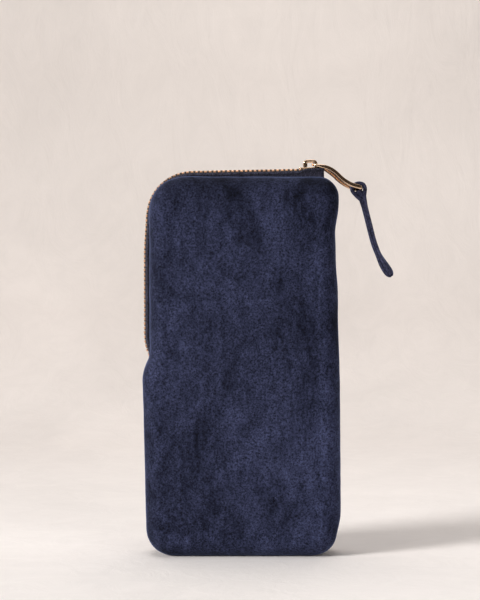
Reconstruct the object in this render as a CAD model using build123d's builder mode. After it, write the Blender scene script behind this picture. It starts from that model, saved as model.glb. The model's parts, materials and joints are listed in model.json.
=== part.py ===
"""Zippered velvet pouch: a tall, padded, lined pouch with a metal zip along its top and upper left edge.

Frame: millimetres, +X to the right and +Z up as the front is looked at, -Y towards the viewer.
The origin is the middle of the foot, on the surface that the pouch stands on.
"""
import os
from math import cos, hypot, pi, sin

from build123d import *

# ---------------------------------------------------------------- driving dimensions
THICKNESS = 28.0          # front face to back face
EDGE_ROUND = 9.0          # rounding from the faces into the edges
SEAM_GAP = 0.1            # parting line between neighbouring cloth pieces
LAYER_GAP = 0.05          # air between velvet, padding and lining

VELVET = 1.2              # cloth thicknesses
PADDING = 2.0
LINING = 0.5
TAPE = 0.5

LEFT_TOP = -45.3          # velvet edge beside the zip
LEFT_LOW = -48.8          # widest place under the zip
LEFT_FOOT = -47.0
RIGHT_TOP = 47.2
RIGHT_FOOT = 49.0
TOP = 186.7               # velvet edge under the zip
STEP_HIGH = 99.5          # the left edge steps out between these two heights
STEP_LOW = 85.5

# corner of the outline, and its radius
OUTLINE = [
    ((LEFT_TOP, TOP), 23.0),
    ((RIGHT_TOP, TOP), 10.0),
    ((RIGHT_FOOT, 0.0), 14.0),
    ((LEFT_FOOT, 0.0), 13.0),
    ((LEFT_LOW, STEP_LOW), 24.0),
    ((LEFT_TOP, STEP_HIGH), 24.0),
]

# zip: the chain's middle plane runs on its own line, a little outside the velvet
CHAIN_LEFT = -47.1
CHAIN_TOP_LEFT = 187.85
CHAIN_TOP_RIGHT = 189.55
CHAIN_CORNER = 24.0
ZIP_END_RIGHT = 40.0
ZIP_END_LOW = 98.5
PITCH = 2.2               # tooth to tooth on one tape
HEAD_WIDTH = 0.98         # tooth size along the chain, at the head and at the legs
LEG_WIDTH = 1.3
TOOTH_NOSE = 0.75         # how far a head reaches past the centre line
TOOTH_NECK = 1.6          # where head turns into legs
TOOTH_HEEL = 3.1
HEAD_HALF = 0.65          # half heights of head and legs
LEG_HALF = 0.75
TAPE_EDGE = 1.65          # tape starts this far from the centre line
CLEARANCE = 0.02          # between a metal piece or a stitch and the cloth it holds
WEB_IN = 4.0              # upright part of the tape
WEB_OUT = WEB_IN + TAPE
FLANGE_OUT = 8.5          # sewn part of the tape, under the velvet
VELVET_SLOT = 4.6         # half widths of the openings along the zip
LINING_SLOT = 5.0
PADDING_SLOT = 9.0
PADDING_SEAM = 2.0        # padding is trimmed this far from the other seams

# fold line of the mouth's corner, from one end of the zip to the other
FOLD_LOW = (LEFT_TOP, 103.0)
FOLD_HIGH = (24.0, TOP)

# slider, in a frame at its centre: X towards the closed end, Z away from the pouch
SLIDER_X = 32.9
SLIDER_LENGTH = 10.4
SLIDER_WIDTH = 7.5
WING_INNER = 0.85
WING_OUTER = 1.55
RAIL_WIDTH = 0.45
RAIL_INNER = 0.38
RAIL_LENGTH = 8.6
RAIL_MIDDLE = -0.9
WING_CORNER = 1.6
WEDGE_BACK = 1.4
WEDGE_FRONT = 4.6
WEDGE_HALF = 1.2
BRIDGE_BACK = -3.1
BRIDGE_FRONT = 4.2
BRIDGE_HALF_WIDTH = 1.1
BRIDGE_TOP = 5.5
BRIDGE_BAR = 1.2
BRIDGE_CORNER = 1.0

# puller: a long loop bent in an S of two equal arcs
PIVOT = (34.8, 192.5)
PULL_RADIUS = 19.6
PULL_START_DEG = -6.0
PULL_BEND_DEG = 40.0
PULL_UNBEND_DEG = 38.0
PULL_BAR = 1.6
PULL_WIDTH = 8.4
PULL_OPENING = 5.2

# velvet strap on the puller's far end: a loop, then two layers hanging down
STRAP_WIDTH = 4.6
STRAP_LAYER = 1.35
STRAP_LOOP = (57.2, 180.9)
STRAP_LOOP_RADIUS = 3.6
STRAP_LEAVE_DEG = -69.7
STRAP_NECK = 5.76         # from the loop's middle to where the strap hangs straight
STRAP_HEADING_DEG = -75.7
STRAP_STRAIGHT = 19.0
STRAP_BEND_RADIUS = 51.0
STRAP_BEND_DEG = 22.0
STRAP_TACK = 2.0          # the bar tack, below the neck
STRAP_TACK_Y = (-1.1, 1.1)
STRAP_TACK_LENGTH = 1.5

# stops, squeezed on the tapes at both ends of the zip
STOP_WIDTH = 1.5
STOP_MARGIN = 0.2
STOP_INNER = 1.2
STOP_HALF = 0.8
FIRST_TOOTH = 7.2         # from the right end of the zip to the first tooth, along the chain
LAST_TOOTH = 4.0

# sewing thread
THREAD_RADIUS = 0.18
STITCH = 2.4
STITCH_PITCH = 3.2
SEAM_THREAD_INSET = 1.6   # inside the velvet, where the two panels meet
ZIP_THREAD_INSET = 2.15   # inside the tapes' sewn parts
ZIP_THREAD_Y = 6.2

FAR = 400.0               # larger than the pouch, for cutting blocks
RUN_OUT = 20.0            # how far the tape's guide line runs past the zip's ends
POUCH_MIDDLE = Vector(0, 0, TOP / 2)
CHAIN_SLOPE = (CHAIN_TOP_RIGHT - CHAIN_TOP_LEFT) / (ZIP_END_RIGHT - CHAIN_LEFT)


# ---------------------------------------------------------------- shared shapes
def rounded_sketch(corners, inset):
    """A polygon on the XZ plane with its own radius at each corner, drawn in by inset."""
    with BuildSketch(Plane.XZ) as shape:
        with BuildLine():
            Polyline(*[point for point, _ in corners], close=True)
        make_face()
        for (x, z), radius in corners:
            if radius:
                fillet(shape.vertices().sort_by_distance((x, z, 0))[0], radius)
        if inset:
            offset(amount=-inset)
    return shape.sketch


def pouch_form(inset):
    """The padded body as one solid, drawn in by inset all round."""
    half = THICKNESS / 2 - inset
    with BuildPart() as form:
        extrude(rounded_sketch(OUTLINE, inset), amount=half, both=True)
        rims = form.faces().sort_by(Axis.Y)
        fillet(rims[0].edges() + rims[-1].edges(), EDGE_ROUND - inset)
    return form.part


def zip_zone(half_width):
    """The block along the zip within half_width of the middle plane."""
    wide, high = ZIP_END_RIGHT + FAR / 2, FAR - ZIP_END_LOW
    with BuildPart() as block:
        with Locations((ZIP_END_RIGHT - wide / 2, 0, ZIP_END_LOW + high / 2)):
            Box(wide, 2 * half_width, high)
    return block.part


def cloth_layer(inset, thickness, slot):
    """A closed layer of cloth around the pouch, open along the zip."""
    with BuildPart() as layer:
        add(pouch_form(inset))
        add(pouch_form(inset + thickness), mode=Mode.SUBTRACT)
        add(zip_zone(slot), mode=Mode.SUBTRACT)
    return layer.part


def chain_face(grow):
    """The area under the chain's line, grown outwards. It reaches past both ends of the zip."""
    corners = [
        ((ZIP_END_RIGHT + RUN_OUT, CHAIN_TOP_RIGHT + RUN_OUT * CHAIN_SLOPE), 0),
        ((CHAIN_LEFT, CHAIN_TOP_LEFT), CHAIN_CORNER),
        ((CHAIN_LEFT, ZIP_END_LOW - RUN_OUT), 0),
        ((ZIP_END_RIGHT + RUN_OUT, ZIP_END_LOW - RUN_OUT), 0),
    ]
    return rounded_sketch(corners, -grow)


fold_dx, fold_dz = FOLD_HIGH[0] - FOLD_LOW[0], FOLD_HIGH[1] - FOLD_LOW[1]
fold_length = hypot(fold_dx, fold_dz)
FOLD_NORMAL = (-fold_dz / fold_length, 0, fold_dx / fold_length)
FOLD_PLANE = Plane(origin=(FOLD_LOW[0], 0, FOLD_LOW[1]), z_dir=FOLD_NORMAL)
FRONT_PLANE = Plane.XZ.offset(SEAM_GAP / 2)
BACK_PLANE = Plane.XZ.offset(-SEAM_GAP / 2)


def keep_back():
    """Cuts the piece being built down to its back half."""
    split(bisect_by=BACK_PLANE, keep=Keep.BOTTOM)


def keep_front():
    """Cuts the piece being built down to its front half, without the corner that folds open."""
    split(bisect_by=FRONT_PLANE, keep=Keep.TOP)
    split(bisect_by=FOLD_PLANE.offset(-SEAM_GAP / 2), keep=Keep.BOTTOM)


def keep_front_corner():
    """Cuts the piece being built down to the front corner that folds open."""
    split(bisect_by=FRONT_PLANE, keep=Keep.TOP)
    split(bisect_by=FOLD_PLANE.offset(SEAM_GAP / 2), keep=Keep.TOP)


os.makedirs("parts", exist_ok=True)


# ---------------------------------------------------------------- velvet, padding and lining
velvet = cloth_layer(0, VELVET, VELVET_SLOT)
padding_inset = VELVET + LAYER_GAP
lining_inset = padding_inset + PADDING + LAYER_GAP

with BuildPart() as padding_layer:
    add(cloth_layer(padding_inset, PADDING, PADDING_SLOT))
    Box(FAR, 2 * PADDING_SEAM, 2 * FAR, mode=Mode.SUBTRACT)
padding = padding_layer.part
lining = cloth_layer(lining_inset, LINING, LINING_SLOT)

with BuildPart() as back_panel:
    add(velvet)
    keep_back()
back_panel.part.label = "back_panel"
export_step(back_panel.part, "parts/back_panel.step")

with BuildPart() as front_panel:
    add(velvet)
    keep_front()
front_panel.part.label = "front_panel"
export_step(front_panel.part, "parts/front_panel.step")

with BuildPart() as front_panel_corner:
    add(velvet)
    keep_front_corner()
front_panel_corner.part.label = "front_panel_corner"
export_step(front_panel_corner.part, "parts/front_panel_corner.step")

with BuildPart() as back_padding:
    add(padding)
    keep_back()
back_padding.part.label = "back_padding"
export_step(back_padding.part, "parts/back_padding.step")

with BuildPart() as front_padding:
    add(padding)
    keep_front()
front_padding.part.label = "front_padding"
export_step(front_padding.part, "parts/front_padding.step")

with BuildPart() as front_padding_corner:
    add(padding)
    keep_front_corner()
front_padding_corner.part.label = "front_padding_corner"
export_step(front_padding_corner.part, "parts/front_padding_corner.step")

with BuildPart() as back_lining:
    add(lining)
    keep_back()
back_lining.part.label = "back_lining"
export_step(back_lining.part, "parts/back_lining.step")

with BuildPart() as front_lining:
    add(lining)
    keep_front()
front_lining.part.label = "front_lining"
export_step(front_lining.part, "parts/front_lining.step")

with BuildPart() as front_lining_corner:
    add(lining)
    keep_front_corner()
front_lining_corner.part.label = "front_lining_corner"
export_step(front_lining_corner.part, "parts/front_lining_corner.step")


# ---------------------------------------------------------------- zip tapes
flange_inset = VELVET + LAYER_GAP

with BuildPart() as flange_band:
    add(zip_zone(FLANGE_OUT))
    Box(FAR, 2 * WEB_IN, 2 * FAR, mode=Mode.SUBTRACT)

with BuildPart() as flange:
    add(pouch_form(flange_inset))
    add(pouch_form(flange_inset + TAPE), mode=Mode.SUBTRACT)
    add(flange_band.part, mode=Mode.INTERSECT)
    split(bisect_by=Plane.XZ, keep=Keep.TOP)

with BuildPart() as web:
    with BuildSketch(Plane.XZ):
        add(chain_face(TAPE / 2))
        add(rounded_sketch(OUTLINE, flange_inset + TAPE), mode=Mode.SUBTRACT)
    extrude(amount=WEB_OUT)
    Box(FAR, 2 * WEB_IN, 2 * FAR, mode=Mode.SUBTRACT)
    add(zip_zone(FLANGE_OUT), mode=Mode.INTERSECT)

with BuildPart() as deck:
    with BuildSketch(Plane.XZ):
        add(chain_face(TAPE / 2))
        add(chain_face(-TAPE / 2), mode=Mode.SUBTRACT)
    extrude(amount=WEB_OUT)
    Box(FAR, 2 * TAPE_EDGE, 2 * FAR, mode=Mode.SUBTRACT)
    add(zip_zone(FLANGE_OUT), mode=Mode.INTERSECT)

with BuildPart() as front_tape:
    add(flange.part)
    add(web.part)
    add(deck.part)

with BuildPart() as back_zip_tape:
    add(mirror(front_tape.part, about=Plane.XZ))
back_zip_tape.part.label = "back_zip_tape"
export_step(back_zip_tape.part, "parts/back_zip_tape.step")

with BuildPart() as front_zip_tape:
    add(front_tape.part)
    keep_front()
front_zip_tape.part.label = "front_zip_tape"
export_step(front_zip_tape.part, "parts/front_zip_tape.step")

with BuildPart() as front_zip_tape_corner:
    add(front_tape.part)
    keep_front_corner()
front_zip_tape_corner.part.label = "front_zip_tape_corner"
export_step(front_zip_tape_corner.part, "parts/front_zip_tape_corner.step")


# ---------------------------------------------------------------- teeth and stops
with BuildLine(Plane.XZ) as chain_line:
    FilletPolyline(
        (ZIP_END_RIGHT, CHAIN_TOP_RIGHT),
        (CHAIN_LEFT, CHAIN_TOP_LEFT),
        (CHAIN_LEFT, ZIP_END_LOW),
        radius=CHAIN_CORNER,
    )
chain = chain_line.wire()


def seat(wire, distance):
    """A plane on the wire: X along it, Y to the back, Z away from the pouch."""
    share = distance / wire.length
    point, along = wire.position_at(share), wire.tangent_at(share)
    outward = along.cross(Vector(0, 1, 0))
    if outward.dot(point - POUCH_MIDDLE) < 0:
        along, outward = -along, -outward
    return Plane(origin=point, x_dir=along, z_dir=outward)


def sides_of_fold(seats, margin):
    """The seats below the fold line and those in the corner above it. Seats on the line are left out."""
    heights = [(place.origin - FOLD_PLANE.origin).dot(FOLD_PLANE.z_dir) for place in seats]
    below = [place for place, height in zip(seats, heights) if height < -margin]
    above = [place for place, height in zip(seats, heights) if height > margin]
    return below, above


def clamp(width, inner, outer, half_height):
    """A metal piece squeezed on the front tape's edge, from y = -inner to y = -outer."""
    with BuildPart() as piece:
        with Locations((0, -(inner + outer) / 2, 0)):
            Box(width, outer - inner, 2 * half_height)
        with Locations((0, -TAPE_EDGE + CLEARANCE - outer / 2, 0)):
            Box(width, outer, TAPE + 2 * CLEARANCE, mode=Mode.SUBTRACT)
    return piece.part


with BuildPart() as tooth:
    add(clamp(LEG_WIDTH, TOOTH_NECK, TOOTH_HEEL, LEG_HALF))
    with Locations((0, (TOOTH_NOSE - TAPE_EDGE + CLEARANCE) / 2, 0)):
        Box(HEAD_WIDTH, TOOTH_NOSE + TAPE_EDGE - CLEARANCE, 2 * HEAD_HALF)

with BuildPart() as back_tooth:
    add(mirror(tooth.part, about=Plane.XZ))

tooth_count = int((chain.length - FIRST_TOOTH - LAST_TOOTH) / PITCH)
front_seats = [seat(chain, FIRST_TOOTH + PITCH * i) for i in range(tooth_count)]
back_seats = [seat(chain, FIRST_TOOTH + PITCH * (i + 0.5)) for i in range(tooth_count)]
lower_seats, corner_seats = sides_of_fold(front_seats, LEG_WIDTH)

with BuildPart() as front_zip_teeth:
    with Locations(lower_seats):
        add(tooth.part)
front_zip_teeth.part.label = "front_zip_teeth"
export_step(front_zip_teeth.part, "parts/front_zip_teeth.step")

with BuildPart() as front_zip_teeth_corner:
    with Locations(corner_seats):
        add(tooth.part)
front_zip_teeth_corner.part.label = "front_zip_teeth_corner"
export_step(front_zip_teeth_corner.part, "parts/front_zip_teeth_corner.step")

with BuildPart() as back_zip_teeth:
    with Locations(back_seats):
        add(back_tooth.part)
back_zip_teeth.part.label = "back_zip_teeth"
export_step(back_zip_teeth.part, "parts/back_zip_teeth.step")

with BuildPart() as stop_pair:
    add(clamp(STOP_WIDTH, STOP_INNER, TOOTH_HEEL, STOP_HALF))
    mirror(about=Plane.XZ)

with BuildPart() as top_stops:
    with Locations(seat(chain, STOP_WIDTH / 2 + STOP_MARGIN)):
        add(stop_pair.part)
top_stops.part.label = "top_stops"
export_step(top_stops.part, "parts/top_stops.step")

with BuildPart() as bottom_stop:
    with Locations(seat(chain, chain.length - STOP_WIDTH / 2 - STOP_MARGIN)):
        add(stop_pair.part)
        Box(STOP_WIDTH, 2 * STOP_INNER, 2 * STOP_HALF)
bottom_stop.part.label = "bottom_stop"
export_step(bottom_stop.part, "parts/bottom_stop.step")


# ---------------------------------------------------------------- sewing thread
def stitch_seats(inset, inside_zip, end_margin):
    """Places for stitches around the edge, along the zip or along the rest of the seam."""
    wire = rounded_sketch(OUTLINE, inset).wire()
    places = []
    for i in range(int(wire.length / STITCH_PITCH)):
        place = seat(wire, STITCH_PITCH * i)
        right = place.origin.X - ZIP_END_RIGHT
        low = ZIP_END_LOW - place.origin.Z
        beyond = max(right, low)
        if inside_zip and beyond < -end_margin or not inside_zip and beyond > end_margin:
            places.append(place)
    return places


with BuildPart() as edge_seam_thread:
    with Locations(stitch_seats(SEAM_THREAD_INSET, False, STITCH)):
        Box(2 * THREAD_RADIUS, STITCH, 2 * THREAD_RADIUS)
edge_seam_thread.part.label = "edge_seam_thread"
export_step(edge_seam_thread.part, "parts/edge_seam_thread.step")

zip_stitches = stitch_seats(ZIP_THREAD_INSET, True, STITCH)
lower_stitches, corner_stitches = sides_of_fold(zip_stitches, STITCH)


def sew(seats, y):
    """Adds a stitch along the zip at each seat, to the piece being built."""
    with Locations(seats):
        with Locations((0, y, 0)):
            Box(STITCH, 2 * THREAD_RADIUS, 2 * THREAD_RADIUS)


with BuildPart() as back_zip_thread:
    sew(zip_stitches, ZIP_THREAD_Y)
back_zip_thread.part.label = "back_zip_thread"
export_step(back_zip_thread.part, "parts/back_zip_thread.step")

with BuildPart() as front_zip_thread:
    sew(lower_stitches, -ZIP_THREAD_Y)
front_zip_thread.part.label = "front_zip_thread"
export_step(front_zip_thread.part, "parts/front_zip_thread.step")

with BuildPart() as front_zip_thread_corner:
    sew(corner_stitches, -ZIP_THREAD_Y)
front_zip_thread_corner.part.label = "front_zip_thread_corner"
export_step(front_zip_thread_corner.part, "parts/front_zip_thread_corner.step")


# ---------------------------------------------------------------- slider
slider_seat = seat(chain, ZIP_END_RIGHT - SLIDER_X)

with BuildPart(slider_seat) as slider_body:
    for side in (1, -1):
        with BuildSketch(slider_seat.offset(side * WING_INNER)):
            RectangleRounded(SLIDER_LENGTH, SLIDER_WIDTH, WING_CORNER)
        extrude(amount=side * (WING_OUTER - WING_INNER))
        with BuildSketch(slider_seat.offset(side * WING_INNER)):
            with Locations((RAIL_MIDDLE, SLIDER_WIDTH / 2 - RAIL_WIDTH / 2)):
                Rectangle(RAIL_LENGTH, RAIL_WIDTH)
            mirror(about=Plane.XZ)
        extrude(amount=side * (RAIL_INNER - WING_INNER))
    with BuildSketch(slider_seat.offset(-WING_INNER)):
        with BuildLine():
            Polyline(
                (WEDGE_BACK, 0),
                (WEDGE_FRONT, -WEDGE_HALF),
                (WEDGE_FRONT, WEDGE_HALF),
                close=True,
            )
        make_face()
    extrude(amount=2 * WING_INNER)
slider_body.part.label = "slider_body"
export_step(slider_body.part, "parts/slider_body.step")

slider_side = Plane(origin=slider_seat.origin, x_dir=slider_seat.x_dir, z_dir=-slider_seat.y_dir)
bridge_middle = (BRIDGE_BACK + BRIDGE_FRONT) / 2
bridge_length = BRIDGE_FRONT - BRIDGE_BACK

with BuildPart() as slider_bridge:
    with BuildSketch(slider_side) as bridge_side:
        with Locations((bridge_middle, (WING_OUTER + BRIDGE_TOP) / 2)):
            Rectangle(bridge_length, BRIDGE_TOP - WING_OUTER)
        fillet(bridge_side.vertices().group_by(Axis.Y)[-1], BRIDGE_CORNER)
        window_top = BRIDGE_TOP - BRIDGE_BAR
        with Locations((bridge_middle, (WING_OUTER + window_top) / 2)):
            Rectangle(bridge_length - 2 * BRIDGE_BAR, window_top - WING_OUTER, mode=Mode.SUBTRACT)
    extrude(amount=BRIDGE_HALF_WIDTH, both=True)
slider_bridge.part.label = "slider_bridge"
export_step(slider_bridge.part, "parts/slider_bridge.step")


# ---------------------------------------------------------------- puller
def heading(angle_deg):
    return cos(angle_deg * pi / 180), sin(angle_deg * pi / 180)


def puller_band(thickness):
    """The puller's S-curve, seen from the front, and the middles of its two end bars."""
    with BuildSketch(Plane.XZ) as band:
        with BuildLine() as curve:
            fall = JernArc(PIVOT, heading(PULL_START_DEG), PULL_RADIUS, -PULL_BEND_DEG)
            JernArc(fall @ 1, heading(PULL_START_DEG - PULL_BEND_DEG), PULL_RADIUS, PULL_UNBEND_DEG)
        trace(line_width=thickness)
        far_end = curve.wire() @ 1
    return band.sketch, [PIVOT, (far_end.X, far_end.Y)]


outer_band, bar_places = puller_band(PULL_BAR)
cutting_band, _ = puller_band(2 * PULL_BAR)

with BuildPart() as puller:
    with BuildSketch(Plane.XZ):
        add(outer_band)
        with Locations(*bar_places):
            Circle(PULL_BAR / 2)
    extrude(amount=PULL_WIDTH / 2, both=True)
    with BuildSketch(Plane.XZ):
        add(cutting_band)
        with Locations(*bar_places):
            Circle(PULL_BAR / 2, mode=Mode.SUBTRACT)
    extrude(amount=PULL_OPENING / 2, both=True, mode=Mode.SUBTRACT)
puller.part.label = "puller"
export_step(puller.part, "parts/puller.step")


# ---------------------------------------------------------------- strap
def polar(center, radius, angle_deg):
    dx, dz = heading(angle_deg)
    return center[0] + radius * dx, center[1] + radius * dz


with BuildPart() as pull_strap:
    with BuildSketch(Plane.XZ):
        with BuildLine():
            start = polar(STRAP_LOOP, STRAP_LOOP_RADIUS - STRAP_LAYER / 2, STRAP_LEAVE_DEG)
            neck = polar(STRAP_LOOP, STRAP_NECK, STRAP_LEAVE_DEG)
            bend = polar(neck, STRAP_STRAIGHT, STRAP_HEADING_DEG)
            Polyline(start, neck, bend)
            JernArc(bend, heading(STRAP_HEADING_DEG), STRAP_BEND_RADIUS, STRAP_BEND_DEG)
        trace(line_width=2 * STRAP_LAYER)
        with Locations(STRAP_LOOP):
            Circle(STRAP_LOOP_RADIUS)
            Circle(STRAP_LOOP_RADIUS - STRAP_LAYER, mode=Mode.SUBTRACT)
    extrude(amount=STRAP_WIDTH / 2, both=True)
pull_strap.part.label = "pull_strap"
export_step(pull_strap.part, "parts/pull_strap.step")

hang_x, hang_z = heading(STRAP_HEADING_DEG)
tack_plane = Plane(origin=(neck[0], 0, neck[1]), x_dir=(hang_x, 0, hang_z), z_dir=(-hang_z, 0, hang_x))
tack_height = STRAP_LAYER + THREAD_RADIUS + CLEARANCE

with BuildPart() as strap_thread:
    with Locations(tack_plane):
        with Locations(*[(STRAP_TACK, y, side * tack_height) for y in STRAP_TACK_Y for side in (1, -1)]):
            Box(2 * THREAD_RADIUS, STRAP_TACK_LENGTH, 2 * THREAD_RADIUS)
strap_thread.part.label = "strap_thread"
export_step(strap_thread.part, "parts/strap_thread.step")
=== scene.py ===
"""Looks of the zippered velvet pouch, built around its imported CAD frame. Lengths are in mm."""

import json
import math

import bmesh
import bpy
import numpy as np
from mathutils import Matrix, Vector, noise
from mathutils.bvhtree import BVHTree


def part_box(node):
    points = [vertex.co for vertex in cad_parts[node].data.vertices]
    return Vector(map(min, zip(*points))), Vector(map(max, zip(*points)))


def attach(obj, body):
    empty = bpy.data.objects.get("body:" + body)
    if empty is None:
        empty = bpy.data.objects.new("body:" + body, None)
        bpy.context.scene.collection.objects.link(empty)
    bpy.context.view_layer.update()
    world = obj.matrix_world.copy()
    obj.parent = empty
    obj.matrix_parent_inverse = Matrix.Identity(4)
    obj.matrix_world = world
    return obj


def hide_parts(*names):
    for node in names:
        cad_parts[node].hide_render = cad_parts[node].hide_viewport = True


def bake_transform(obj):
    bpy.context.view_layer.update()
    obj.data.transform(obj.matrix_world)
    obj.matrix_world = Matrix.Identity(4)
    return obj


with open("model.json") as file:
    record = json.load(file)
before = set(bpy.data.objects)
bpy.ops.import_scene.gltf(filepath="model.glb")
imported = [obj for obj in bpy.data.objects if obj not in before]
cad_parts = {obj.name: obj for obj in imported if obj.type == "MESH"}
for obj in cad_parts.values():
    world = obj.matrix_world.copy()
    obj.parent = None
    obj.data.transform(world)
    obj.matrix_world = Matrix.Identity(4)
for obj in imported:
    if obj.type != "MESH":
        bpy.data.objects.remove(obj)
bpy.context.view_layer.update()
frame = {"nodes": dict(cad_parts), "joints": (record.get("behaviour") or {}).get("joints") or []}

MM = 0.001


def limits(node):
    """A CAD node's box at rest."""
    low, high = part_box(node)
    return np.array(low) / MM, np.array(high) / MM


joints = {joint["name"]: joint for joint in frame["joints"]}
back_high = limits("back_panel")[1]
tape_low, tape_high = limits("back_zip_tape")
body_low, body_high = limits("slider_body")
bridge_high = limits("slider_bridge")[1]

# ---------------------------------------------------------------- dimensions, mm
HALF_THICK = back_high[1]
EDGE_ROUND = 9.0
VELVET = 1.2
TAPE = 0.5
VELVET_EDGE = 4.6         # the velvet's hem beside the zip, from the middle plane
ZIP_RIGHT = tape_high[0]  # the zip's two ends
ZIP_LOW = tape_low[2]
MIDDLE = (0.0, back_high[2] / 2)
FOOT_CLEAR = 0.02         # the swollen cloth is pressed flat just above the floor
PITCH = 2.2
HALVES = (("back", 1), ("front", -1))

# the front corner folds about the line between the zip's ends
mouth = joints["mouth_open"]
FOLD_POINT = np.array(mouth["pos_m"]) / MM
FOLD_AXIS = np.array(mouth["axis"])
# how the standing pouch departs from its plain outline: height, depth and spread of each place
RIGHT_DENTS = ((161.0, 1.5, 7.5), (147.0, 1.6, 12.0), (118.0, 0.8, 20.0), (11.0, 1.5, 6.0))
LEFT_PUFFS = ((93.8, 0.5, 2.4), (89.5, 0.9, 4.6))
CORNER_MIDDLE = (-22.3, 163.7)
CORNER_FULL = 2.8         # the cloth comes right up to the zip round the corner
CORNER_SPREAD = math.radians(30)
SIDE_FROM = 40.0          # a point this far from the middle belongs wholly to its side

rng = np.random.default_rng(7)


# ---------------------------------------------------------------- small helpers
def heading(degrees):
    return np.array([math.cos(math.radians(degrees)), math.sin(math.radians(degrees))])


def unit(vectors):
    """The vectors at length one, along the last axis."""
    return vectors / np.linalg.norm(vectors, axis=-1, keepdims=True)


def travelled_along(points):
    """The distance of each point along a polyline."""
    return np.concatenate([[0], np.cumsum(np.linalg.norm(np.diff(points, axis=0), axis=1))])


def smoothstep(value):
    value = np.clip(value, 0.0, 1.0)
    return value * value * (3 - 2 * value)


def ripple(points, size, seed):
    """Smooth noise, about -1 to 1, at each point."""
    shift = Vector((seed * 17.3, seed * 5.1, seed * 9.7))
    return np.array([noise.noise(Vector(p) / size + shift) for p in points])


def add_object(name, data):
    made = bpy.data.objects.new(name, data)
    bpy.context.scene.collection.objects.link(made)
    return made


def make_mesh(name, points, faces, uv=None):
    """A smooth-shaded mesh object. uv holds one pair for each corner of each face."""
    mesh = bpy.data.meshes.new(name)
    corners = [list(map(int, face)) for face in faces]
    mesh.from_pydata([tuple(float(c) * MM for c in p) for p in points], [], corners)
    if uv is not None:
        layer = mesh.uv_layers.new(name="UVMap")
        layer.data.foreach_set("uv", np.asarray(uv, np.float32).ravel())
    mesh.validate()
    mesh.polygons.foreach_set("use_smooth", [True] * len(mesh.polygons))
    return add_object(name, mesh)


def apply_modifiers(obj):
    """Bakes an object's modifiers into its mesh."""
    depsgraph = bpy.context.evaluated_depsgraph_get()
    baked = bpy.data.meshes.new_from_object(obj.evaluated_get(depsgraph))
    obj.modifiers.clear()
    obj.data = baked


def add_subdivision(obj, levels):
    modifier = obj.modifiers.new("Subdivision", "SUBSURF")
    modifier.levels = levels
    modifier.render_levels = levels


def fix_normals(obj):
    mesh = bmesh.new()
    mesh.from_mesh(obj.data)
    bmesh.ops.recalc_face_normals(mesh, faces=mesh.faces)
    mesh.to_mesh(obj.data)
    mesh.free()


def join(name, objects):
    """One object from many, keeping their UV maps."""
    mesh = bmesh.new()
    for obj in objects:
        mesh.from_mesh(obj.data)
    joined = bpy.data.meshes.new(name)
    mesh.to_mesh(joined)
    mesh.free()
    joined.polygons.foreach_set("use_smooth", [True] * len(joined.polygons))
    made = add_object(name, joined)
    for obj in objects:
        bpy.data.objects.remove(obj)
    return made


# ---------------------------------------------------------------- materials
# the pale blue painted sheen at the velvet's edges
VELVET_PAINTED_SHEEN = (0.12, 0.16, 0.34)
LINING_COLOUR = (0.030, 0.032, 0.048)
LINING_THREAD = 0.35
TAPE_CHEVRON = 1.1        # half the herringbone's width
TAPE_RIB = 0.62
TAPE_YARN = 0.34


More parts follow.
